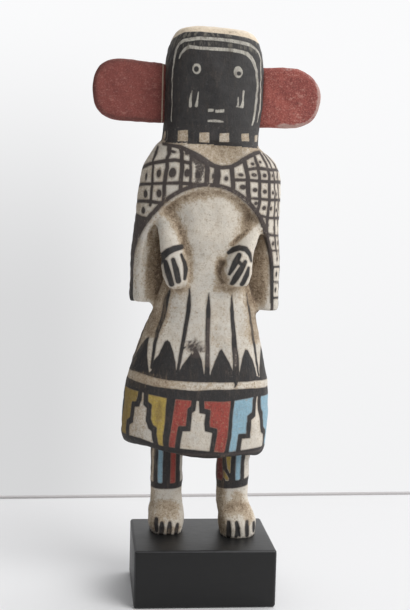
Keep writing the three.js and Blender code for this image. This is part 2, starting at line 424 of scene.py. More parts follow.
def trim(co):
    """Dips the hem, trims one hip, lifts the cape's feet, sets its left strip and left foot out."""
    x, y, z = co.T  # columns of co itself, so each line works on what the last one left
    dip = line_at(HEM_DIP, x) * fade(z, HEM + 0.5, HEM + 9) * fade(y, 4, 20)
    z += np.where(z > HEM - 1.5, dip * ease(z, HEM - 1.5, HEM - 0.2), 0)
    hips = line_at(HIP_TRIM, z - CAPE_HEM) * (z < CAPE_HEM)
    x += hips * ease(-x, 8, 22) * fade(y, 12, 24)
    x += 1.35 * ease(x, 28, 35) * fade(z, CAPE_HEM + 22, CAPE_HEM + 46) * (z > CAPE_HEM - 2)
    cape_foot = fade(z, CAPE_HEM + 0.5, CAPE_HEM + 8) * (z > CAPE_HEM - 2)
    z += 0.75 * cape_foot * ease(np.abs(x + 1.5), 26, 29)
    x += 1.3 * ease(x, 24, 27.5) * fade(z, SOLE + 5, SOLE + 16) * fade(y, 0, 14)


def cut_depth(co):
    """How deep the toe and finger grooves, the ankle nick and the chips go."""
    x, y, z = co.T
    depth = np.zeros(len(co))
    for points, _ in TOES:
        groove = fade(stroke(x, z, points, 1.0), -0.3, 1.1)
        depth += 0.4 * groove * (z < SOLE + 11) * (y < 4)
    for points, _ in FINGERS:
        groove = fade(stroke(x, z, points, 1.2), -0.4, 1.0)
        depth += 0.25 * groove * (z > CAPE_HEM + 9) * (z < WRIST + 6) * (y < -12)
    nick = fade(stroke(x, z, ANKLE_NICK, 0.3), 0, 0.9)
    depth += 0.5 * nick * (x < 0) * (y < 12)
    rough = [fade(stroke(x, z, BELLY_CRACK, 0.6), 0, 5)]
    for points, width, _ in CRUMBLED:
        rough.append(fade(stroke(x, z, points, width), -1, 1.5))
    chips = ease(ripple(co, 1.7, 5), 0.7, 1.5) * np.maximum.reduce(rough)
    return depth + 0.35 * chips * (y < 2) * (z > CAPE_HEM) * (z < SHOULDER)


# ---- the painted design, in millimetres on each unrolled surface ----

# Strokes on the toes, seen from the front.
TOES = [
    ([(-23.8, SOLE + 8), (-24.1, SOLE + 5.4), (-23.6, SOLE + 2)], (1.7, 2.1, 1.8)),
    ([(-21, SOLE + 6.2), (-21, SOLE + 4.4), (-21.2, SOLE + 0.6)], (1.9, 2.6, 2.4)),
    ([(-16.8, SOLE + 6.3), (-16.9, SOLE + 4), (-17.2, SOLE + 0.5)], (1.9, 2.7, 2.4)),
    ([(-12.6, SOLE + 5.2), (-13, SOLE + 3), (-13.3, SOLE + 0.8)], (1.5, 2.3, 2)),
    ([(14, SOLE + 8.2), (14, SOLE + 5.4), (14.1, SOLE + 1)], (1.7, 2.4, 2.3)),
    ([(18, SOLE + 8.2), (18.6, SOLE + 5.6), (17.9, SOLE + 1.2)], (1.8, 2.5, 1.5)),
    ([(18.6, SOLE + 5), (19.7, SOLE + 1.6)], (2, 1.2)),
    ([(23.7, SOLE + 8.5), (23.6, SOLE + 5.6), (23.8, SOLE + 1.6)], (1.6, 2.3, 2)),
    ([(27.7, SOLE + 7.2), (27.8, SOLE + 5), (27.8, SOLE + 2.6)], (1.5, 1.9, 1.2)),
]
# Finger strokes and bracelets, seen from the front.
FINGERS = [
    ([(-23.4, WRIST - 5.2), (-22, WRIST - 10.2), (-20, WRIST - 16.4)], (2, 3, 2.6)),
    ([(-19.6, WRIST - 4), (-18, WRIST - 9), (-16.7, WRIST - 14.6)], (2, 3, 2.8)),
    ([(-15.3, WRIST - 1.6), (-13.6, WRIST - 5.6), (-12.9, WRIST - 9), (-13.4, WRIST - 13.6)],
     (1.3, 2, 2.5, 1.5)),
    ([(13.7, WRIST - 1), (11.8, WRIST - 4.6), (10.2, WRIST - 7.6), (8.8, WRIST - 10.6)],
     (2.3, 3, 2.3, 1.3)),
    ([(16.7, WRIST - 4.4), (14.4, WRIST - 8.4), (12, WRIST - 12.4), (10.6, WRIST - 15.4)],
     (2, 3.1, 3.1, 2.2)),
    ([(18.6, WRIST - 7.4), (17.6, WRIST - 11), (15.6, WRIST - 15.6)], (1.4, 2.6, 2.4)),
    ([(12.6, WRIST - 3.8), (15.2, WRIST - 6)], (1.9, 1.7)),
]
BRACELETS = [
    ([(-25.8, WRIST - 6), (-24.6, WRIST - 2.6), (-22.3, WRIST - 0.2),
      (-19.3, WRIST + 1.4), (-15, WRIST + 2.4)], (2.4, 3.1, 3.1, 3, 2.4)),
    ([(8.8, WRIST - 0.2), (11.4, WRIST + 1.6), (14.2, WRIST + 2.6), (17.1, WRIST + 2),
      (19.1, WRIST - 0.4), (20.2, WRIST - 4)], (1.6, 2.4, 2.5, 2.6, 2, 1.2)),
]


class Paint:
    """The distance fields of each colour, one value for each vertex."""

    def __init__(self, count):
        self.fields = {layer: np.full(count, FAR) for layer, *_ in PAINTS}

    def lay(self, layer, where, distance):
        """Adds a shape, given as distances at the vertices where is true."""
        self.fields[layer][where] = np.minimum(self.fields[layer][where], distance)

    def leave_out(self, where, distance):
        """Keeps a shape free of black."""
        self.fields["black"][where] = np.maximum(self.fields["black"][where], -distance)

    def store(self, mesh):
        for layer, distances in self.fields.items():
            set_attribute(mesh, layer + "_paint", np.clip(distances, -FAR, FAR))


# The two pale frame lines round the face, up the left side, over and down the right.
OUTER_FRAME = [
    (-24.4, MASK_BASE + 25), (-24.2, BROW - 11.5), (-23.4, BROW - 6.6), (-22.9, BROW - 1.6),
    (-21.1, BROW + 1.3), (-18.2, BROW + 3), (-10.1, BROW + 4.4), (-2.4, BROW + 4.6),
    (4.3, BROW + 4.4), (10.6, BROW + 3.9), (16.2, BROW + 3.2), (19.5, BROW + 1.8),
    (22.6, BROW - 0.1), (24.3, BROW - 3.4), (24.5, MASK_BASE + 35), (24.4, MASK_BASE + 20.6),
    (23.7, MASK_BASE + 12),
]
OUTER_WIDTHS = (0.7, 0.8, 1.2, 1.5, 1.6, 1.7, 1.7, 1.6, 1.6, 1.8, 1.7, 1.2, 1, 0.9, 1.1, 1.3, 0.9)
LEFT_FRAME = [
    (-24.4, MASK_BASE + 25), (-24, MASK_BASE + 18), (-23.9, MASK_BASE + 12), (-23.3, MASK_BASE + 9.4),
]
INNER_FRAME = [
    (-20.2, BROW - 6), (-19.2, BROW - 3.6), (-17.2, BROW - 1.2), (-14.9, BROW - 0.1),
    (-9.8, BROW - 0.5), (-2.2, BROW - 0.4), (5.4, BROW - 0.3), (10.7, BROW - 0.7),
    (15, BROW - 1.5), (17.3, BROW - 3.2), (19.1, BROW - 6), (20.6, BROW - 9.8),
    (21.3, MASK_BASE + 30), (21.2, MASK_BASE + 24), (20.6, MASK_BASE + 17), (19.9, MASK_BASE + 10.2),
]
INNER_WIDTHS = (0.6, 1.1, 1.5, 1.7, 1.5, 1.6, 1.6, 1.7, 1.9, 2, 2, 1.7, 1.5, 1.4, 1.5, 1)
# Pale strokes on the front of the mask: the frame lines and the cheek marks.
FACE_STROKES = [
    (OUTER_FRAME, OUTER_WIDTHS),
    (LEFT_FRAME, (0.8, 0.55, 0.6, 0.5)),
    (INNER_FRAME, INNER_WIDTHS),
    ([(-13, 261.6), (-13.6, 257.5), (-13.4, 254)], (0.4, 1.1, 1.4)),
    ([(-9.8, 261.2), (-10, 257.5), (-10.3, 254.4)], (0.4, 0.8, 1.5)),
    ([(10.4, 260), (10.5, 255.7)], (0.5, 0.9)),
    ([(13, 263.2), (13.3, 259), (12.9, 255.9)], (1.1, 0.8, 1.7)),
    ([(9.9, 255.3), (13.2, 255.2)], (0.7, 0.8)),
]
# The nose's two marks and the mouth.
FACE_PATCHES = [
    [(-4.3, 251.7), (-1.5, 252), (-1.3, 253.3), (-4.4, 253.3)],
    [(-0.3, 251.5), (3.9, 252), (3.8, 253.6), (-0.4, 252.9)],
    [(-4, 246.8), (4.1, 246.9), (4.1, 247.7), (0, 248.2), (-4, 247.7)],
]
# Eyes: a pale oval and the hole in it.
EYES = [
    (((-11, 272.6), (2.2, 2.6)), ((-11.2, 272.4), (1.3, 1.5))),
    (((9.9, 272.4), (2.2, 2.9)), ((10.2, 271.7), (1.05, 1.1))),
]
# A thin pale streak at the mask's foot on the doll's right.
SIDE_STREAK = [(-27.2, 242), (-26.2, 239), (-25.2, 236.4)]
# Where the black ends in bare wood at the crown.
CROWN = [
    (-60, 286), (-25, 288.8), (-19, 290.8), (-10, 291.3), (3, 291), (16, 290), (22, 288.4), (60, 286),
]
# Squares of the collar: left and right edge and top, at the front; the rest go round.
COLLAR = [
    (-19.2, -13.4, 242.2), (-7.8, -2.4, 241.7), (2.5, 7.9, 242), (13.9, 18.6, 242.6),
    (22.9, 26.2, 242.4), (33, 38, 242.4), (44.5, 49.5, 242.2), (55.5, 61, 242),
    (-33.5, -28.5, 241.6), (-45, -40, 241.6), (-57, -52, 242),
]


def paint_mask(paint, co, mask):
    u, v, _ = MASK.unroll(co[mask])
    crown = line_at(CROWN, u)
    paint.lay("black", mask, v - crown)
    paint.lay("bare", mask, crown - v)
    pale = [stroke(u, v, points, widths) for points, widths in FACE_STROKES]
    pale += [patch(u, v, corners) for corners in FACE_PATCHES]
    pale += [np.maximum(oval(u, v, *white), -oval(u, v, *hole)) for white, hole in EYES]
    in_front = co[mask, 1] < 6
    paint.lay("pale", mask, np.where(in_front, np.minimum.reduce(pale), FAR))
    paint.lay("pale", mask, stroke(u, v, SIDE_STREAK, (0.5, 0.3, 0.2)))
    for left, right, top in COLLAR:
        low = top - 4.9 + 0.05 * left * (abs(left) < 24)
        corners = [(left + 0.3, low), (right, low + 0.2), (right - 0.4, top), (left, top - 0.5)]
        paint.leave_out(mask, patch(u, v, corners))


# Uprights of the cape's net, from the top down, with their widths.
UPRIGHTS = [
    ([(-28.4, 232.5), (-30, 229.4), (-31.5, 225.8), (-30.5, 216), (-31.2, 203)], 1.4),
    ([(-20.4, 234), (-23.4, 227.2), (-23.5, 216), (-24, 206)], 1.7),
    ([(-15.6, 234), (-16.2, 228.2), (-16.1, 222.7), (-15.6, 210)], 1.7),
    ([(-11.2, 231), (-12, 224.6), (-11.2, 212)], 1.4),
    ([(-5, 228), (-4.1, 222.6), (-3.8, 213)], 1.9),
    ([(0.2, 225.5), (0.7, 220.6), (0.3, 213)], 2.9),
    ([(7.2, 225.6), (8.1, 218.7), (8.9, 213)], 2),
    ([(13.8, 229), (15.3, 221.8), (15.6, 215.8), (17, 208)], 2),
    ([(18.6, 233), (20.6, 227.2), (21.3, 222.3), (22.5, 209.7), (22.2, 200)], 1.5),
    ([(23, 234), (25.6, 228.6), (27, 222.7), (28.5, 207.5), (29.5, 196), (31, 186)], 1.5),
    ([(26.6, 233), (29.8, 226.4), (31.4, 220.4), (33.7, 205.2), (36, 194), (39, 184)], 1.3),
    ([(30, 233), (35, 225.7), (35.4, 218), (38.7, 200.1), (42.4, 189.7), (45.6, 178), (46.4, 154)],
     (1.2, 1.2, 1.2, 1.2, 1.2, 1.5, 1.8)),
]
RUNGS = [
    ([(-60, 221), (-40.7, 222), (-33.6, 223.7), (-24.4, 225.6), (-19.5, 226.5), (-12.4, 225.5)], 1.5),
    ([(-60, 212), (-41.6, 213), (-32, 213.6), (-16.3, 215.2), (-9, 215)], 1.4),
    ([(-60, 203.6), (-40.6, 204.5), (-32, 204.8), (-25, 204.4)], 1.7),
    ([(-60, 195.4), (-41, 196.3), (-33.4, 195.8)], 1.7),
    ([(14.8, 224.3), (20.6, 225.7), (28.1, 225.3), (35, 225.7), (60, 225)], 1.3),
    ([(8.1, 218.7), (14.4, 219.2), (27.6, 219.2), (35, 219.6), (60, 219)], 1.4),
    ([(16.6, 210.3), (28.7, 210.1), (36.5, 210.4), (60, 210)], 1.2),
    ([(24.6, 201.7), (30.6, 200.9), (39.3, 201.1), (60, 201)], 1.1),
    ([(31, 192.4), (41.3, 191.7), (60, 192)], 1.1),
]
# Dots of the net: middle and radii.
DOTS = [
    ((-35.5, 217.2), (1.1, 2)), ((-27.1, 219.2), (1.3, 2.2)), ((-20.4, 220), (1.8, 2.6)),
    ((-13.4, 220.4), (1.4, 2.2)), ((-8.3, 219.9), (1.3, 1.9)), ((-1.2, 219.8), (0.7, 1.7)),
    ((-20, 230.6), (1.6, 0.8)), ((-13.9, 230), (1, 0.7)),
    ((-35.3, 208.4), (1.6, 2.1)), ((-26.5, 209.2), (1.4, 2.1)), ((-35.6, 200), (1.6, 1.8)),
    ((5, 219.1), (1, 1.3)), ((11.9, 221.5), (1.5, 0.9)), ((18.6, 222), (1.5, 1)),
    ((24.1, 222.2), (1.2, 1.1)), ((29.4, 222.5), (0.7, 1)), ((33.4, 222), (0.5, 1)),
    ((18.2, 227.5), (1, 0.8)), ((22.1, 228.8), (0.8, 0.7)), ((13.2, 215.5), (1.6, 1.3)),
    ((19.5, 214.5), (1.4, 1.1)), ((25.1, 214.1), (1.3, 1.1)), ((30.4, 213.8), (0.9, 1)),
    ((34.1, 213.4), (0.5, 1)), ((20.6, 207.8), (1, 1)), ((25.8, 205.8), (1.3, 1.1)),
    ((30.4, 205.7), (1, 1.1)), ((35.6, 205), (0.8, 1)), ((29.9, 197), (1.1, 1.3)),
    ((35.2, 196), (0.9, 1.3)), ((35.8, 187.8), (0.9, 1.3)), ((39.8, 182.6), (0.7, 1.2)),
]
NECKLINE = [
    (-24, 234.4), (-18.5, 233.6), (-15, 232.9), (-11.4, 230.6), (-7.9, 228.4), (-4.6, 226.6),
    (-1.2, 225), (2.6, 224.4), (6.9, 225.1), (10.3, 226.9), (13.3, 229.2), (16.4, 231.3),
    (20, 233.1), (24, 234.2),
]
NECKLINE_WIDTHS = (1.6, 2, 2.6, 3.3, 3.6, 3, 2.4, 2, 2.1, 2.2, 2.4, 2.3, 2.1, 1.6)
NECK_SMEAR = [(-12.6, 230), (-7.4, 225), (-8, 216)]
DARK_SIDE_TOP = 197  # below this the cape's edge on the doll's right is all black
# The net's levels round the sides and back.
FAR_LEVELS = [SHOULDER - drop for drop in (11, 17.4, 26, 35, 44, 52, 60.2, 68.4, 76.6)]


def paint_cape(paint, co, cape, rng):
    u, v, _ = CAPE.unroll(co[cape])
    x, y, z = co[cape].T
    rim = painted_edge(x, z)
    border = np.interp(z, [CAPE_HEM, SHOULDER - 40, SHOULDER - 20], [2.9, 3.7, 3.3])
    in_front = (y < POCKET_FLOOR + 2) & (u > -43)
    opening = np.where(in_front, 1.2 - rim, -FAR)
    net = [oval(u, v, centre, radii) for centre, radii in DOTS] + far_net(u, v, rng)
    for points, width in UPRIGHTS + RUNGS:
        widths = (np.array(width) + 0.25) * rng.uniform(0.85, 1.2, len(points))
        net.append(stroke(u, v, points, widths))
    above_dark = v - DARK_SIDE_TOP
    dark_side = bar(u, -62, -34.5 - 0.12 * above_dark)
    net.append(np.maximum(dark_side, above_dark + 0.15 * (u + 36)))
    black = np.minimum.reduce([
        np.where(in_front, bar(rim, 1.1, border), FAR),
        np.maximum(np.minimum.reduce(net), opening),
        bar(v, CAPE_HEM - 2, CAPE_HEM + 1),
    ])
    above_neckline = (v > line_at(NECKLINE, u)) & (np.abs(u - 2) < 23) & (y < 0)
    neckline = stroke(u, v, NECKLINE, NECKLINE_WIDTHS)
    paint.lay("black", cape, np.where(above_neckline, neckline, np.minimum(black, neckline)))


def far_net(u, v, rng):
    """The net's lines and dots round the sides and back, and down the right strip."""
    black = []
    for height in FAR_LEVELS[5:]:
        black.append(stroke(u, v, [(33, height), (50, height - 0.4)], 1.1))
        black.append(oval(u, v, (40.6, height + 4), (0.9, 1.4)))
    for height in FAR_LEVELS:
        sag = 3 if height > SHOULDER - 48 else 0
        black.append(stroke(u, v, [(50, height - 0.4), (104, height - 0.5)], 1.3))
        black.append(stroke(u, v, [(-58, height - 0.5 - sag), (-104, height - 0.5)], 1.4))
    for place in np.arange(51, 105, 9.5):
        for side in (-1, 1):
            sway = rng.uniform(-0.7, 0.7, 4)
            points = [(side * place + s, h) for s, h in zip(sway, (152, 178, 205, SHOULDER - 11))]
            black.append(stroke(u, v, points, 1.4))
            for high, low in zip(FAR_LEVELS, FAR_LEVELS[1:]):
                sag = 3 * (104 - place) / 46 if side < 0 and high > SHOULDER - 48 else 0
                across = side * (place + 4.7) + rng.uniform(-0.4, 0.4)
                black.append(oval(u, v, (across, (high + low) / 2 - sag - 0.4), (1.2, 1.5)))
    return black


# The five long pleat lines from the top down, with their widths.
PLEATS = [
    ([(-18.1, 160.2), (-20.4, 154.4), (-23.1, 145), (-25.4, 137.4), (-26.6, 130.6), (-27.7, 119)],
     (0.7, 2.4, 2.3, 2.2, 1.7, 1.3)),
    ([(-8.4, 162), (-9.3, 153.5), (-10.2, 145.7), (-10.9, 137.9), (-12.3, 128), (-13.3, 119)],
     (0.4, 2.1, 2, 1.9, 1.7, 1.4)),
    ([(0, 160.8), (0, 152), (0.6, 141.8), (1.2, 134), (1.9, 119)], (0.4, 2.1, 2.3, 2.2, 2.6)),
    ([(11.3, 160.8), (11.9, 153.1), (13.2, 145.4), (14.8, 137.8), (16.6, 128), (17.4, 120)],
     (0.4, 2, 2.2, 2.5, 3.4, 3.4)),
    ([(20, 162), (22.2, 153.4), (25, 145.7), (27.9, 138), (30.2, 130.3), (32.5, 120)],
     (0.3, 1.2, 1.5, 1.6, 1.5, 1.5)),
]
# Where two pleats have worn thin.
THIN_PLEATS = [[(0.6, 147), (1.9, 121)], [(15.8, 133), (17.4, 120)]]
# Leaves between the pleats, each from its left foot over its peak to its right foot.
LEAVES = [
    [(-44, 116), (-40.5, 124), (-36.6, 129.2), (-33.2, 132.6), (-30.8, 134.4), (-31, 129.5),
     (-30.6, 124.5), (-28.9, 116.2)],
    [(-27.8, 116), (-26.6, 122.6), (-24.2, 125.6), (-22.6, 129.4), (-20.9, 133), (-19.6, 134.4),
     (-18, 133.2), (-16.3, 129), (-14.8, 123.6), (-14, 119)],
    [(-12.6, 119), (-11.2, 122.4), (-8.2, 127), (-6.8, 129.4), (-6.2, 128.6),
     (-5.4, 131.2), (-4.7, 129.8), (-4.1, 132), (-2.6, 128.8), (-1.4, 126), (0.2, 119)],
    [(3.4, 118), (4.2, 121.8), (5.6, 126.3), (7.2, 130.4), (8.6, 133), (10.4, 130.2),
     (12.8, 126.6), (15.4, 122), (16, 119)],
    [(18.8, 119), (19.4, 123.1), (20.2, 128.2), (21.8, 133.2), (23.6, 133), (26.6, 128.8),
     (28.7, 125.6), (30.6, 120)],
    [(33.4, 119), (34, 125), (34.6, 130), (36, 134.6), (40, 131), (44, 126), (48, 119)],
]
WORN_LEAF = ((-4.8, 131.6), (4.6, 4.6))
SMUDGED_LEAF = ((-5.6, 134.6), (7.4, 5.6))
# The leaves of the far sides: their outline and their places round the skirt.
FAR_LEAF = [(-8, 118), (-3, 127), (0, 134), (3, 127), (8, 118)]
FAR_LEAVES = (56, 72, 88.5, -52, -70, -88)
# Edges of the bands round the skirt, by place and height, and a drip below the upper one.
BAND_TOP = [
    (-60, 119.6), (-42, 119.4), (-38, 116.4), (-28.6, 116.4), (-26, 119.6), (-8, 119.6), (0, 119),
    (18, 119), (20, 119.8), (30, 119.8), (33, 118.8), (46, 119.6), (60, 119.6),
]
BAND_FOOT = [
    (-60, 114.6), (-36, 115.4), (-25, 114.4), (-18.6, 114.1), (-4, 114.7), (11.6, 115.8),
    (29, 117.3), (60, 117),
]
BEIGE_FOOT = [
    (-60, 111), (-37.7, 110.6), (-25, 109.8), (-4, 110.1), (6.6, 111.6), (26, 113.2), (60, 113.4),
]
PANEL_TOP = [
    (-60, 106), (-33, 105.9), (-17.7, 104.9), (-3, 105.1), (12.5, 106), (21, 107.4), (30, 109),
    (60, 109.4),
]
PANEL_FOOT = [(-60, 81.5), (-31, 81.8), (-19, 79.4), (7, 79.2), (15.5, 79), (30, 81.2), (60, 83)]
DRIP = [(17.6, 117), (17.9, 115.2), (17.4, 113.6)]
# The coloured panels: colour, left and right edge.
PANELS = [("yellow", -49, -16), ("red", -16, 16.5), ("blue", 16.5, 49)]
# Stepped pyramids: spike, shoulders, waist and base corners, from the left foot round.
PYRAMIDS = [
    [(-39, 78), (-38.2, 87.6), (-35.6, 89.4), (-35.3, 97.6), (-32.4, 98.2), (-31.3, 101.8), (-31, 106),
     (-29.9, 106), (-29.7, 99.6), (-27.7, 98.2), (-27.9, 91.4), (-26.3, 88), (-24.2, 86.8), (-23.2, 78)],
    [(-9.8, 77), (-8.4, 88.9), (-4.4, 89.3), (-4.3, 98.7), (-2.7, 100.2), (-2.4, 106),
     (-1.1, 106), (-0.2, 99.2), (3, 98.8), (2.7, 93.6), (3.4, 90), (7.2, 89.4), (7, 77)],
    [(24.4, 78), (24, 87), (28.7, 87.3), (28.1, 96.9), (31, 98.8), (31.3, 103), (31.6, 110),
     (32.6, 110), (33.3, 102), (34.8, 98.6), (36.7, 89.9), (39.4, 88.4), (40, 78)],
]
# The same blocks go on round the back: colour and middle, and half the even pyramid.
FAR_PANELS = [("yellow", 62), ("red", 90), ("blue", -62), ("red", -90)]
FAR_STEPS = [(8.2, 78), (8.2, 88), (4.4, 89), (4.4, 98.5), (0.6, 99.5), (0.6, 108)]
FAR_DIVIDERS = (49, 76, 104, -49, -76, -104)
DIVIDERS = [
    [(-17.7, 107), (-13.2, 107), (-14.3, 91.4), (-15.7, 77), (-18.6, 77), (-17.9, 91)],
    [(15.7, 108), (17.4, 108), (17.3, 94), (17.5, 77), (15.1, 77), (15.5, 94)],
]


def all_round(line, u):
    """An edge's height round the whole skirt; its two ends meet at the back."""
    back = (line[0][1] + line[-1][1]) / 2
    return line_at([(-92, back)] + line + [(92, back)], u)


def panel_blocks():
    """Each panel's colour, edges and pyramid, all the way round."""
    blocks = [(*panel, corners) for panel, corners in zip(PANELS, PYRAMIDS)]
    for colour, middle in FAR_PANELS:
        corners = [(middle - half, height) for half, height in FAR_STEPS]
        corners += [(middle + half, height) for half, height in reversed(FAR_STEPS)]
        blocks.append((colour, middle - 14, middle + 14, corners))
    return blocks


def paint_dress(paint, co, dress, rng):
    u, v, _ = DRESS.unroll(co[dress])
    black = [stroke(u, v, points, widths) for points, widths in PLEATS]
    black += [patch(u, v, leaf) for leaf in LEAVES]
    for middle in FAR_LEAVES:
        black.append(patch(u, v, [(middle + across, height) for across, height in FAR_LEAF]))
        edge = middle - math.copysign(8, middle)
        black.append(stroke(u, v, [(0.72 * edge, 158), (edge, 119)], (0.5, 1.8)))
    panel_top, panel_foot = all_round(PANEL_TOP, u), all_round(PANEL_FOOT, u)
    black.append(bar(v, all_round(BAND_FOOT, u), all_round(BAND_TOP, u)))
    black.append(bar(v, panel_top, all_round(BEIGE_FOOT, u)))
    black.append(bar(v, HEM - 8, panel_foot))
    black.append(stroke(u, v, DRIP, (3, 1.4, 0.6)))
    black += soot_specks(u, v, rng)
    in_panels = bar(v, panel_foot - 0.6, panel_top + 0.6)
    for colour, low, high, corners in panel_blocks():
        steps = patch(u, v, corners)
        shifts = [(side, up) for side in (-1.7, 1.7) for up in (-1.7, 1.7)]
        square = [patch(u + side, v + up, corners) for side, up in shifts]
        outline = np.maximum(np.minimum.reduce(square) - 0.6, -steps)
        black.append(np.maximum(np.minimum(bar(steps, -0.1, 1.8), outline), in_panels))
        ground = np.maximum(bar(u, low, high), in_panels)
        paint.lay(colour, dress, np.maximum(ground, 1.0 - steps))
    dividers = [patch(u, v, corners) for corners in DIVIDERS]
    dividers += [bar(u, place - 1.3, place + 1.3) for place in FAR_DIVIDERS]
    black.append(np.maximum(np.minimum.reduce(dividers), in_panels))
    paint.lay("black", dress, np.minimum.reduce(black))


def soot_specks(u, v, rng):
    """Specks over the worn leaf, thickest at its tip."""
    (middle, tip), _ = WORN_LEAF
    specks = []
    for size in rng.uniform(0.3, 0.75, 90):
        across, up = rng.normal(size=2) * 0.5
        spot = (middle + 4.6 * across + 1.6 * up, tip + 5.2 * abs(up) - 1.5)
        specks.append(oval(u, v, spot, (size, size * 0.8)))
    return specks


# Leg stripes: from and to, round each leg from its front middle.
RIGHT_LEG_STRIPES = (
    ("black", -8.8, -5.9), ("blue", -6.1, -2.6), ("black", -2.8, 1.4),
    ("red", 1.2, 4.8), ("black", 4.7, 7.8), ("black", -14.6, -12.6), ("black", 12.4, 14.4),
)
LEFT_LEG_STRIPES = (
    ("red", -13.6, -6.8), ("black", -15, -13.2), ("black", -7.2, 0.3), ("blue", 0, 3.5),
    ("black", 3.3, 5.6), ("black", 12, 14),
)
YELLOW_HOOK = [
    ([(-3.9, HEM - 1), (-3.4, SOLE + 36), (-2.8, SOLE + 33.4)], (3.2, 1.7, 0.5)),
    ([(-6.6, SOLE + 34), (-5.6, SOLE + 31.6), (-4.3, SOLE + 29.8)], (0.9, 2.3, 1.9)),
]


def paint_legs(paint, co, legs):
    """Stripes above a cuff on each leg, and the hook on the left one."""
    for wrap, stripes, cuff_foot, cuff_top, tilt in (
        (RIGHT_LEG, RIGHT_LEG_STRIPES, SOLE + 23.4, SOLE + 26.3, 0.03),
        (LEFT_LEG, LEFT_LEG_STRIPES, SOLE + 25.2, SOLE + 29.2, 0.1),
    ):
        where = legs & (np.sign(co[:, 0]) == np.sign(wrap.middles[0]))
        u, v, _ = wrap.unroll(co[where])
        slope = tilt * np.interp(u, [-28, -12, 12, 28], [0, -12, 12, 0])
        slope += 0.004 * np.clip(u, -12, 12) ** 2
        above_cuff = cuff_top - 0.6 + slope - v
        for colour, start, end in stripes:
            paint.lay(colour, where, np.maximum(bar(u, start, end), above_cuff))
        paint.lay("black", where, bar(v, cuff_foot + slope, cuff_top + slope))
        if wrap is LEFT_LEG:
            for points, widths in YELLOW_HOOK:
                hook = stroke(u, v, points, widths)
                paint.lay("yellow", where, hook)
                paint.leave_out(where, hook - 0.2)


def paint_hands_and_feet(paint, co):
    x, y, z = co.T
    hands = (z > CAPE_HEM + 9) & (z < WRIST + 8) & (y < -8)
    for points, widths in FINGERS + BRACELETS:
        paint.lay("black", hands, stroke(x[hands], z[hands], points, widths))
    toes = (z < SOLE + 12) & (y < 6)
    for points, widths in TOES:
        paint.lay("black", toes, stroke(x[toes], z[toes], points, widths))


def paint_figure(piece):
    mesh = piece.data
    co = get_points(mesh)
    x, y, z = co.T
    rng = np.random.default_rng(7)
    above_base = z - MASK.lean * x - MASK_BASE
    mask = (above_base > -0.3) | ((above_base > -1.3) & (y < -6) & (np.abs(x) < 25))
    arch = arch_distance(x, z)
    on_edge = painted_edge(x, z) > 0.6
    lip = on_edge & (y < np.where((x > 20) & (z < CAPE_HEM + 46), -2.5, -8))
    pocket = (arch < 0.2) & ~lip & (y < POCKET_FLOOR + 0.5) & ~mask
    out_from_dress = DRESS.unroll(co)[2] > 1.12
    behind = (y > POCKET_FLOOR + 0.5) & (z > CAPE_HEM - 1)
    cape = ~mask & ~pocket & (z > CAPE_HEM - 4) & (out_from_dress | (z > CAPE_HEM + 12) | behind)
    leg_reach = np.minimum(RIGHT_LEG.unroll(co)[2], LEFT_LEG.unroll(co)[2])
    legs = (z < HEM - 0.4) & (leg_reach < 1.3)
    paint = Paint(len(co))
    paint_mask(paint, co, mask)
    paint_cape(paint, co, cape, rng)
    paint_dress(paint, co, ~mask & ~cape & ~legs, rng)
    paint_legs(paint, co, legs)
    paint_hands_and_feet(paint, co)
    paint.store(mesh)
    edges = get_edges(mesh)
    set_attribute(mesh, "hollow", hollows(mesh, co, edges))
    set_attribute(mesh, "stain_and_shade", browning_and_shade(co, edges, pocket, arch, mask))
    set_attribute(mesh, "smudged", smudges(co, mask))
    set_attribute(mesh, "worn", wear(co, arch, mask))
    set_attribute(mesh, "hatched", brush_marks(co, mask))
    # The mask, 0.6 on the doll's right rising to 1 on its left: the rise carries a painted sheen on the
    # black.
    set_attribute(mesh, "masked", mask * (0.6 + 0.4 * ease(x, -8, 22)))


# ---- age: one value for each vertex ----


def hollows(mesh, co, edges):
    """How far each point lies below its surroundings, in millimetres."""
    broad = relax(co, edges, 60)
    depth = ((broad - co) * get_normals(mesh)).sum(axis=1)
    return np.clip(relax(depth[:, None], edges, 3)[:, 0], -2, 2)


def browning_and_shade(co, edges, pocket, arch, mask):
    """Browning and painted shade: placed marks, the pocket and the opening's rim, the beige band, the neck,
    the shaded right side, the collar.
    """
    x, y, z = co.T
    u, v, _ = CAPE.unroll(co)
    brown = []
    for points, width, strength in CRUMBLED + STAINS_AND_SHADE:
        soft = fade(stroke(x, z, points, width), -width * 0.35, width * 0.45)
        brown.append(strength * soft * (y < AXIS_Y + 4))
    # The pocket browns further in from its rim and further back: grime and painted shade in the recess.
    rim_width = np.where(x < 0, 2.6, 0.6)
    pocket_grime_and_shade = pocket * ease(y, -12, -6) * ease(-arch, rim_width, rim_width + 3)
    brown.append(relax(pocket_grime_and_shade[:, None], edges, 4)[:, 0])
    # Browning along the opening's edge, heaviest just inside it and more on the doll's left: grime and
    # painted shade under the rim.
    lip = np.exp(-np.abs(arch + 1.5) / 2) * np.where(x < 0, 0.25, 0.35)
    brown.append(lip * (y < POCKET_FLOOR) * (z > CAPE_HEM - 3))
    # The beige band browns, more towards the doll's right.
    band = fade(np.abs(z - DRESS.lean * x - HEM - 36), 2.5, 5)
    brown.append((0.3 + 0.5 * ease(-x, 12, 26)) * band * (z < CAPE_HEM - 8))
    brown.append(0.5 * ((v > line_at(NECKLINE, u)) & (z > SHOULDER - 14) & (y < 0)))
    # Painted shade: the doll's right side, away from the light, darkened.
    brown.append(0.6 * ease(-x, 22, 44) * (z > HEM) * (z < SHOULDER - 4))
    return np.where(mask, 0.5 * (z < MASK_BASE + 9), np.maximum.reduce(brown))


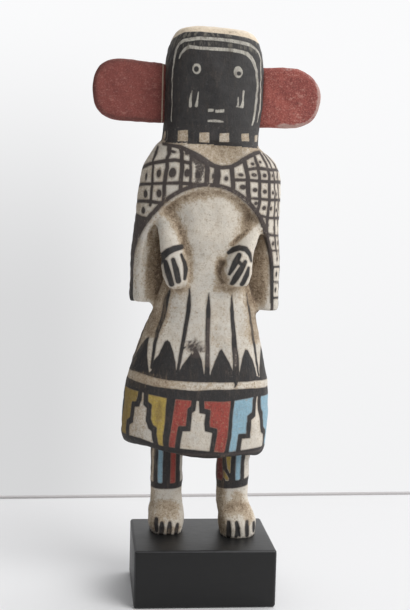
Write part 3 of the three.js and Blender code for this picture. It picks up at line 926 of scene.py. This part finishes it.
def smudges(co, mask):
    """Soot smeared below the neck and round the tip of one leaf."""
    y, z = co[:, 1], co[:, 2]
    u, v, _ = CAPE.unroll(co)
    neck = fade(stroke(u, v, NECK_SMEAR, (3, 6, 4)), -2, 1.5) * (v < line_at(NECKLINE, u) - 0.5)
    around, up, _ = DRESS.unroll(co)
    tip = fade(oval(around, up, *SMUDGED_LEAF), -5.5, 1)
    return np.where(z > SHOULDER - 24, neck, 0.25 * tip) * (y < 0) * ~mask


def wear(co, arch, mask):
    """Where paint is rubbed: thin pleats, the opening's edge, the hems, a leaf and the net."""
    x, y, z = co.T
    around, up, _ = DRESS.unroll(co)
    thin = [stroke(around, up, points, 1.6) for points in THIN_PLEATS]
    thin = fade(np.minimum.reduce(thin), -0.6, 0.9) * (z < CAPE_HEM) * (z > HEM + 46)
    edge = np.exp(-np.abs(painted_edge(x, z) - 0.8) / 1.2) * (y < POCKET_FLOOR)
    edge = edge * (z > CAPE_HEM - 1)
    hems = np.exp(-np.abs(z - HEM) / 1.5) + np.exp(-np.abs(z - CAPE_HEM) / 1.2) * (arch > 0)
    leaf = fade(oval(around, up, *WORN_LEAF), -1, 2) * (z < CAPE_HEM)
    net = (z > SHOULDER - 60) & (arch > 0)
    return np.clip(0.55 * thin + 0.5 * edge + 0.4 * hems + 0.35 * leaf + 0.3 * net, 0, 1) * ~mask


def brush_marks(co, mask):
    """Two rows on the brow where the black was brushed on dry."""
    around, up, _ = MASK.unroll(co)
    sag = 0.012 * np.maximum(np.abs(around - 1) - 9, 0) ** 2.2
    low_row = bar(up, BROW + 0.6 - sag, BROW + 3.2 - sag)
    high_row = bar(up, BROW + 5.4 - sag, BROW + 9.4)
    rows = np.minimum(low_row, high_row + 0.4)
    return fade(rows, -1, 0.6) * (mask & (co[:, 1] < 6))


# ---- finishes ----


class NodeSet:
    """Adds nodes to one emptied tree and joins them."""

    def __init__(self, tree):
        self.tree = tree
        tree.nodes.clear()

    def new(self, kind):
        return self.tree.nodes.new("ShaderNode" + kind)

    def feed(self, socket, value):
        if isinstance(value, bpy.types.NodeSocket):
            self.tree.links.new(value, socket)
        else:
            socket.default_value = value

    def math(self, operation, *values):
        node = self.new("Math")
        node.operation = operation
        for socket, value in zip(node.inputs, values):
            self.feed(socket, value)
        return node.outputs[0]

    def times(self, first, second):
        return self.math("MULTIPLY", first, second)

    def step(self, value, low, high, start=0.0, end=1.0):
        """Goes smoothly from start to end as the value goes from low to high."""
        node = self.new("MapRange")
        node.interpolation_type = "SMOOTHSTEP"
        for socket, setting in zip(node.inputs, (value, low, high, start, end)):
            self.feed(socket, setting)
        return node.outputs["Result"]


class Finish(NodeSet):
    """A small builder for one material's nodes."""

    def __init__(self, name, specular):
        self.material = bpy.data.materials.new(name)
        self.material.use_nodes = True
        super().__init__(self.material.node_tree)
        self.surface = self.new("BsdfPrincipled")
        self.surface.inputs["Specular IOR Level"].default_value = specular
        self.feed(self.new("OutputMaterial").inputs["Surface"], self.surface.outputs["BSDF"])
        self.coordinates = self.new("TexCoord").outputs["Object"]

    def total(self, *terms):
        """The sum of (value, weight) pairs."""
        result = 0.0
        for value, weight in terms:
            result = self.math("MULTIPLY_ADD", value, weight, result)
        return result

    def rise(self, low, high, *terms):
        """Goes smoothly from nought to one as the terms' sum goes from low to high."""
        return self.step(self.total(*terms), low, high)

    def attribute(self, name):
        node = self.new("Attribute")
        node.attribute_name = name
        return node.outputs["Fac"]

    def noise(self, size, detail, rough, stretch=(1, 1, 1), shift=0.0, warp=0.0):
        """Soft noise whose humps are about size millimetres across."""
        place = self.new("Mapping")
        place.inputs["Scale"].default_value = stretch
        place.inputs["Location"].default_value = (shift, shift * 0.7, -shift)
        self.feed(place.inputs["Vector"], self.coordinates)
        node = self.new("TexNoise")
        settings = {"Scale": 1 / (size * MM), "Detail": detail, "Roughness": rough, "Distortion": warp}
        for name, setting in settings.items():
            node.inputs[name].default_value = setting
        self.feed(node.inputs["Vector"], place.outputs["Vector"])
        return node.outputs["Fac"]

    def mix(self, factor, under, over):
        node = self.new("Mix")
        node.data_type = "RGBA"
        self.feed(node.inputs["Factor"], factor)
        for name, value in (("A", under), ("B", over)):
            socket = next(s for s in node.inputs if s.name == name and s.type == "RGBA")
            self.feed(socket, value if isinstance(value, bpy.types.NodeSocket) else (*value, 1))
        return next(s for s in node.outputs if s.type == "RGBA")

    def glaze(self, under, *glazes):
        """Lays glazes over a colour in turn: each is a colour, its most cover and where it lies."""
        for over, amount, factor in glazes:
            under = self.mix(self.times(factor, amount), under, over)
        return under

    def complete(self, colour, roughness, height, depth):
        """Joins the colour, the roughness and a relief this many millimetres deep."""
        bump = self.new("Bump")
        bump.inputs["Distance"].default_value = depth * MM
        self.feed(bump.inputs["Height"], height)
        self.feed(self.surface.inputs["Base Color"], colour)
        self.feed(self.surface.inputs["Roughness"], roughness)
        self.feed(self.surface.inputs["Normal"], bump.outputs["Normal"])
        return self.material


KAOLIN = (0.695, 0.64, 0.555)
KAOLIN_GREY = (0.61, 0.575, 0.515)
KAOLIN_TAN = (0.43, 0.335, 0.23)
BROWN_STAIN_AND_SHADE = (0.25, 0.18, 0.115)
GRIME_AND_SHADE = (0.085, 0.056, 0.036)
SOOT = (0.0245, 0.0235, 0.0245)
SOOT_BROWN = (0.06, 0.047, 0.037)
# Each paint: its colour, the colour where it is tired, how far it wears and how ragged it is.
PAINTS = (
    ("bare", (0.8, 0.68, 0.53), (0.52, 0.4, 0.26), 0.6, 0.6),
    ("yellow", (0.5, 0.37, 0.085), (0.17, 0.108, 0.05), 0.7, 0.4),
    ("red", (0.4, 0.075, 0.058), (0.13, 0.035, 0.03), 0.75, 0.4),
    ("blue", (0.29, 0.47, 0.57), (0.17, 0.25, 0.3), 0.55, 0.4),
    ("black", SOOT, SOOT_BROWN, 0.4, 0.4),
    ("pale", (0.56, 0.53, 0.46), (0.24, 0.22, 0.2), 0.75, 0.4),
)


class FigureFinish(Finish):
    """The figure's finish, with the noises and the stored fields that it is mixed from."""

    def __init__(self):
        super().__init__("painted_root_wood", 0.35)
        self.cloud = self.noise(26, 4, 0.6)
        self.blot = self.noise(9, 5, 0.65, shift=3.1, warp=0.6)
        self.grain = self.noise(1.1, 4, 0.7, shift=7.7)
        self.scratch = self.noise(2.4, 6, 0.75, stretch=(1, 1, 0.3), shift=1.3)
        self.crumb = self.noise(0.55, 3, 0.7, shift=5.2)
        self.grit = self.noise(1.7, 6, 0.85, shift=2.6)
        self.pepper = self.noise(0.75, 2, 0.8, shift=8.8)
        self.streak = self.noise(1.6, 4, 0.7, stretch=(1, 1, 0.12), shift=6.4)
        self.rub = self.total((self.scratch, 0.6), (self.crumb, 0.4))
        self.hollow, self.stain_and_shade = self.attribute("hollow"), self.attribute("stain_and_shade")
        self.worn, self.smudged = self.attribute("worn"), self.attribute("smudged")
        self.hatched, self.masked = self.attribute("hatched"), self.attribute("masked")


def kaolin_ground(f):
    """White clay gone grey and tan, with freckles, brown marks, grime and painted shade in hollows and on
    shaded sides, and soot.
    """
    dirt_and_shade = f.total(
        (f.hollow, 0.42), (f.blot, 0.5), (f.stain_and_shade, 0.75), (f.grit, 1.6), (f.pepper, 0.9), (f.streak, 0.5)
    )
    # Grime and painted shade in the hollows, broken by crumbs and blotches.
    deep = f.total((f.hollow, 0.7), (f.crumb, 0.9), (f.stain_and_shade, 0.25), (f.blot, 0.5))
    return f.glaze(
        f.mix(f.step(f.cloud, 0.4, 0.62), KAOLIN, KAOLIN_GREY),
        (KAOLIN_TAN, 0.3, f.step(f.blot, 0.48, 0.72)),
        (KAOLIN_TAN, 0.7, f.rise(0.5, 0.62, (f.grit, 0.6), (f.crumb, 0.4))),
        (BROWN_STAIN_AND_SHADE, 0.6, f.rise(0.74, 0.84, (f.pepper, 0.7), (f.grit, 0.5))),
        (KAOLIN_TAN, 0.8, f.step(dirt_and_shade, 1.75, 2.15)),
        (BROWN_STAIN_AND_SHADE, 0.85, f.step(dirt_and_shade, 2.1, 2.6)),
        (GRIME_AND_SHADE, 0.75, f.step(dirt_and_shade, 2.5, 2.9)),
        (GRIME_AND_SHADE, 0.7, f.step(deep, 1.38, 1.9)),
        ((0.12, 0.098, 0.085), 0.85, f.rise(0.85, 1.15, (f.smudged, 0.8), (f.grit, 0.6), (f.streak, 0.3))),
    )


def aged_black(f, tone):
    """Soot paint: brown streaks, grey flecks, rubbed edges, the face painted greyer towards the doll's left
    as a painted sheen, and a brushed brow.
    """
    brown = f.times(f.step(f.streak, 0.5, 0.62), f.step(f.stain_and_shade, 0.52, 0.7))
    return f.glaze(
        tone,
        ((0.1, 0.076, 0.06), 0.5, f.rise(0.52, 0.66, (f.streak, 0.5), (f.scratch, 0.5))),
        ((0.11, 0.105, 0.1), 0.6, f.rise(0.62, 0.72, (f.pepper, 0.6), (f.grit, 0.5))),
        ((0.008, 0.007, 0.007), 0.6, f.step(f.grit, 0.46, 0.36)),
        (SOOT_BROWN, 0.6, f.step(f.stain_and_shade, 0.5, 1.0)),
        ((0.085, 0.065, 0.058), 0.7, f.step(f.worn, 0.12, 0.4)),
        # Grey blotches on the mask, heavier towards the doll's left, and a grey glaze rising there: tone
        # and painted sheen.
        ((0.05, 0.047, 0.047), 0.5, f.times(f.step(f.blot, 0.4, 0.62), f.masked)),
        ((0.06, 0.058, 0.057), 0.6, f.step(f.masked, 0.6, 1.0)),
        (BROWN_STAIN_AND_SHADE, 0.35, brown),
        ((0.27, 0.25, 0.2), 0.5, f.times(f.step(f.streak, 0.47, 0.6), f.hatched)),
    )


def black_cover(f, cover):
    """The black's cover with bald spots, and specks of it elsewhere."""
    bald = f.rise(0.78, 0.64, (f.rub, 1.0), (f.worn, 0.24), (f.masked, -0.12))
    specks = f.rise(1.06, 1.2, (f.smudged, 0.4), (f.pepper, 1.1), (f.grit, 0.5))
    return f.math("MAXIMUM", f.times(cover, bald), f.times(specks, 0.8))


def aged_colour(f, tone, tired):
    """A bright paint, darkened where stained and where painted shade lies, rubbed to the clay in spots and
    mottled.
    """
    return f.glaze(
        tone,
        (tired, 0.85, f.step(f.stain_and_shade, 0.25, 0.8)),
        (KAOLIN_TAN, 0.55, f.rise(0.8, 0.92, (f.grit, 1.0), (f.pepper, 0.5), (f.worn, 0.2))),
        (tired, 0.7, f.rise(0.47, 0.37, (f.pepper, 0.5), (f.scratch, 0.5))),
        (tired, 0.6, f.step(f.grit, 0.44, 0.34)),
    )


def figure_finish():
    f = FigureFinish()
    colour = kaolin_ground(f)
    for layer, fresh, tired, wear_most, rag in PAINTS:
        distance = f.attribute(layer + "_paint")
        edge = f.total((distance, 1.0), (f.crumb, rag), (f.scratch, rag), (f.worn, 0.3))
        cover = f.step(edge, 0.22 + rag, -0.2 + rag)
        tone = f.glaze(fresh, (tired, wear_most, f.step(f.rub, 0.4, 0.64)))
        if layer == "black":
            fringe = f.rise(1.6, 0.8, (distance, 1.0), (f.grit, 1.6), (f.masked, 2.0))
            colour = f.glaze(colour, ((0.17, 0.13, 0.1), 0.55, fringe))
            tone = aged_black(f, tone)
            soot = cover = black_cover(f, cover)
        elif layer == "pale":
            cover = f.times(cover, f.rise(0.4, 0.54, (f.crumb, 0.7), (f.grit, 0.5)))
            tone = f.glaze(tone, ((0.2, 0.185, 0.15), 0.75, f.step(f.streak, 0.5, 0.62)))
        elif layer == "bare":
            # The bare crown is painted lighter further from the black, towards its top: a painted highlight
            # where it faces the light; the dark blotches are tone.
            tone = f.glaze(
                tone,
                ((0.93, 0.86, 0.75), 0.85, f.step(distance, -1.5, -6)),
                ((0.2, 0.16, 0.12), 0.6, f.step(f.blot, 0.6, 0.72)),
            )
        else:
            tone = aged_colour(f, tone, tired)
        colour = f.mix(cover, colour, tone)
    rough_skin = f.total((f.stain_and_shade, 0.55), (f.worn, 0.2), (soot, -0.25), (0.3, 1.0))
    pits = f.rise(0.78, 0.92, (f.pepper, 1.0), (f.grit, 0.4))
    flecks = f.rise(0.6, 0.46, (f.pepper, 1.0), (f.grit, 0.4))
    colour = f.glaze(
        colour,
        (GRIME_AND_SHADE, 1.0, f.times(pits, rough_skin)),
        ((0.72, 0.65, 0.56), 0.5, f.times(flecks, rough_skin)),
    )
    roughness = f.total((f.grain, 0.2), (soot, -0.2), (0.7, 1.0))
    height = f.total((f.grain, 0.5), (f.scratch, 0.5), (f.grit, 0.4), (f.crumb, 0.25), (soot, 0.15))
    return f.complete(colour, roughness, height, 0.55)


def ear_finish():
    f = Finish("red_ear_paint", 0.35)
    blot = f.noise(9, 5, 0.6, shift=2.2, warp=0.4)
    weave = f.noise(1.6, 5, 0.75, stretch=(0.45, 1, 1), shift=4.4)
    crumb = f.noise(0.6, 3, 0.7, shift=9.1)
    grit = f.noise(1.9, 6, 0.85, shift=1.7)
    pepper = f.noise(0.75, 2, 0.8, shift=3.8)
    nicks = f.noise(1.1, 3, 0.8, stretch=(0.35, 1, 1.3), shift=6.6)
    red = f.glaze(
        f.mix(f.step(blot, 0.35, 0.65), (0.38, 0.1, 0.078), (0.28, 0.072, 0.06)),
        ((0.56, 0.27, 0.22), 0.7, f.step(weave, 0.54, 0.66)),
        ((0.12, 0.04, 0.034), 0.6, f.step(grit, 0.54, 0.66)),
        ((0.1, 0.034, 0.03), 0.5, f.step(pepper, 0.5, 0.66)),
        ((0.6, 0.28, 0.23), 0.55, f.step(pepper, 0.44, 0.34)),
        ((0.62, 0.36, 0.31), 0.6, f.step(nicks, 0.64, 0.72)),
        # Painted shade over the whole right ear, a paler rim worn and painted as a highlight on the left
        # ear, and a darker painted-shade edge on the right ear.
        ((0.13, 0.036, 0.03), 0.55, f.attribute("shaded")),
        ((0.52, 0.4, 0.36), 0.6, f.rise(0.88, 1.08, (f.attribute("rim"), 0.5), (weave, 0.7), (crumb, 0.5))),
        ((0.07, 0.035, 0.03), 0.7, f.times(f.attribute("painted_shade_rim"), f.step(crumb, 0.35, 0.5))),
        ((0.52, 0.42, 0.32), 0.8, f.rise(0.7, 1.0, (f.attribute("joint"), 1.0), (crumb, 0.5))),
    )
    roughness = f.total((weave, 0.2), (blot, 0.1), (0.6, 1.0))
    return f.complete(red, roughness, f.total((weave, 0.6), (crumb, 0.4)), 0.25)


def plinth_finish():
    f = Finish("black_plinth_paint", 0.4)
    cloud = f.noise(30, 3, 0.5)
    grain = f.noise(1.5, 4, 0.6, stretch=(0.25, 1, 1), shift=3.0)
    edge = f.rise(0.9, 1.4, (f.attribute("edge"), 1.0), (grain, 0.7))
    black = f.mix(cloud, (0.006, 0.006, 0.0064), (0.0085, 0.0084, 0.0088))
    # Lighter along every edge: worn paint and a painted highlight on the rounded edges.
    black = f.glaze(black, ((0.06, 0.06, 0.064), 0.5, edge))
    return f.complete(black, f.total((cloud, 0.14), (grain, 0.12), (0.3, 1.0)), grain, 0.06)


# ---- ears and plinth ----

# How far each ear's top and foot are raised, by distance from the middle of the mask.
EAR_TAPER = {
    "right": (
        [(24.3, -2.2), (29.6, -1.2), (35, -0.75), (40, -0.5), (45.5, 0)],
        [(24.3, -0.4), (29.6, -0.5), (35, -0.2), (40, 0), (45.5, 0.2)],
    ),
    "left": (
        [(34, -1.2), (45, -0.7), (50, -1.5), (55.5, -1.4)],
        [(34, -0.4), (45, -0.2), (50, 0.4), (55.5, 0.8)],
    ),
}


def carved_ear(side):
    """A paddle whose pale rim, worn and painted as a highlight, shows on the lit left ear; its root reaches
    the mask, and the right one gets painted shade.
    """
    piece, from_crease = even_skin(side + "_ear", side + "_ear_paddle", EAR_GRAIN, 20)
    mesh = piece.data
    co = relax(get_points(mesh), get_edges(mesh), 4)
    x, y, z = co.T  # columns of co itself
    out = 1 if side == "left" else -1
    root = np.abs(x).min()
    near_root = fade(np.abs(x), root, root + 2.5)
    x -= out * near_root
    reach = np.abs(x)
    height = (z - z.min()) / np.ptp(z)
    top, foot = [line_at(line, reach) for line in EAR_TAPER[side]]
    z += height * top + (1 - height) * foot
    set_points(mesh, co)
    uneven = 0.14 * ripple(co, 12, 11) + 0.05 * ripple(co, 4, 12)
    set_points(mesh, co + get_normals(mesh) * (uneven * (1 - near_root))[:, None])
    outer = np.exp((reach - reach.max()) / 2.2) + np.exp(-(z - z.min()) / 2.5)
    front = y < y.mean()
    edge_line = np.exp(-from_crease / 0.8) * front
    # Only the left ear is lit: it gets the pale rim as worn paint and painted highlight; the right one gets
    # painted shade and a darker edge.
    sunny = float(side == "left")
    rim = np.clip(outer + edge_line, 0, 1) * ease(reach - root, 4, 12)
    joint = fade(np.abs(reach - 25.2 - 0.2 * np.sin(z / 5)), 0.0, 0.8) * front
    set_attribute(mesh, "rim", sunny * rim)
    set_attribute(mesh, "painted_shade_rim", (1 - sunny) * edge_line)
    set_attribute(mesh, "shaded", np.full(len(co), 1 - sunny))
    set_attribute(mesh, "joint", (1 - sunny) * joint)
    shade_smooth(mesh)
    return piece


def rounded_block(name, size, middle, rounding, segments, turn=0.0):
    bm = bmesh.new()
    bmesh.ops.create_cube(bm, size=1)
    bmesh.ops.scale(bm, vec=size, verts=bm.verts)
    bmesh.ops.translate(bm, vec=middle, verts=bm.verts)
    bmesh.ops.rotate(bm, matrix=Matrix.Rotation(turn, 3, "Z"), verts=bm.verts)
    bmesh.ops.bevel(
        bm, geom=bm.edges[:], offset=rounding, offset_type="OFFSET", segments=segments,
        profile=0.5, affect="EDGES", material=-1,
    )
    mesh = bpy.data.meshes.new(name)
    bm.to_mesh(mesh)
    bm.free()
    return mesh


def painted_plinth():
    size, middle = (PLINTH_HIGH - PLINTH_LOW) * MM, (PLINTH_HIGH + PLINTH_LOW) / 2 * MM
    mesh = rounded_block("plinth_block", size, middle, 1.5 * MM, 5)
    shade_smooth(mesh)
    low, high = np.array(PLINTH_LOW), np.array(PLINTH_HIGH)
    co = get_points(mesh)
    in_from_faces = np.sort(np.minimum(co - low, high - co), axis=1)
    # Nearness to an edge, where the black is lightened as wear and painted highlight.
    set_attribute(mesh, "edge", fade(in_from_faces[:, 1], 0.5, 1.5))
    return new_piece("plinth_block", mesh)


def dress_piece(piece, node, material):
    piece.data.materials.clear()
    piece.data.materials.append(material)
    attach(piece, "root")
    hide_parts(node)


# ---- floor, light and camera ----

TABLE_BACK = 0.181
TABLE_TURN = math.radians(1.55)


def stage_slab(name, size, middle, colour, rounding):
    mesh = rounded_block(name, size, middle, rounding, 3, TABLE_TURN)
    material = bpy.data.materials.new(name + "_colour")
    material.use_nodes = True
    surface = material.node_tree.nodes["Principled BSDF"]
    surface.inputs["Base Color"].default_value = (*colour, 1)
    surface.inputs["Roughness"].default_value = 0.65
    mesh.materials.append(material)
    new_piece(name, mesh)


def studio_world():
    """A bright room on the right and overhead, dim on the left and in front."""
    world = bpy.data.worlds.new("studio")
    world.use_nodes = True
    sky = NodeSet(world.node_tree)
    axes = sky.new("SeparateXYZ")
    sky.feed(axes.inputs[0], sky.new("TexCoord").outputs["Generated"])
    across, along, up = axes.outputs
    sides = sky.times(sky.step(across, -0.9, 0.9, 0.22, 1.3), sky.step(along, -0.5, 0.5, 0.34, 1.0))
    lit = sky.times(sides, sky.step(up, 0, 1, 1.0, 1.75))
    # The background the camera sees is painted darker low down, most of all on the left: painted shade on
    # the backdrop.
    low_left_shade = sky.times(sky.step(across, -0.04, 0.1, 0.225, 0), sky.step(up, -0.12, 0.16, 1, 0))
    seen = sky.math("SUBTRACT", sky.step(up, -0.25, 0.16, 0.9, 0.97), low_left_shade)
    mixed = sky.new("MixShader")
    sky.feed(mixed.inputs[0], sky.new("LightPath").outputs["Is Camera Ray"])
    for socket, strength in ((mixed.inputs[1], lit), (mixed.inputs[2], seen)):
        glow = sky.new("Background")
        glow.inputs["Color"].default_value = (0.99, 0.992, 1.0, 1)
        sky.feed(glow.inputs["Strength"], strength)
        sky.feed(socket, glow.outputs["Background"])
    sky.feed(sky.new("OutputWorld").inputs["Surface"], mixed.outputs[0])
    bpy.context.scene.world = world


def soft_light(name, place, target, size, power):
    data = bpy.data.lights.new(name, "AREA")
    data.size = size
    data.energy = power
    lamp = bpy.data.objects.new(name, data)
    lamp.location = place
    lamp.rotation_euler = (Vector(target) - Vector(place)).to_track_quat("-Z", "Y").to_euler()
    bpy.context.scene.collection.objects.link(lamp)


def camera():
    data = bpy.data.cameras.new("camera")
    data.sensor_width = 36
    data.lens = 67.4
    viewer = bpy.data.objects.new("camera", data)
    pose = Matrix.Translation((-0.0629, -0.5902, 0.2154))
    for degrees, axis in ((-6.0, "Z"), (84.0, "X"), (1.47, "Z")):
        pose = pose @ Matrix.Rotation(math.radians(degrees), 4, axis)
    viewer.matrix_world = pose
    bpy.context.scene.collection.objects.link(viewer)
    bpy.context.scene.camera = viewer


# ---- everything together ----

bpy.context.scene.view_settings.view_transform = "Standard"

figure = carved_figure()
paint_figure(figure)
dress_piece(figure, "figure", figure_finish())

ear_paint = ear_finish()
for side in ("right", "left"):
    dress_piece(carved_ear(side), side + "_ear", ear_paint)

dress_piece(painted_plinth(), "plinth", plinth_finish())

stage_slab("table_top", (4, 2.4, 0.03), (0, TABLE_BACK - 1.2, -0.015), (0.77, 0.77, 0.775), 0.001)
# A grey strip along the table's back edge, darker than the top: the edge itself and painted shade where the
# table meets the backdrop.
stage_slab("table_edge_shade_line", (4, 0.004, 0.004), (0, TABLE_BACK + 0.001, -0.0008), (0.5, 0.48, 0.48), 0.0005)
studio_world()
soft_light("window", (3.3, -3.15, 4.2), (0, 0, 0.12), 3.9, 232)
camera()
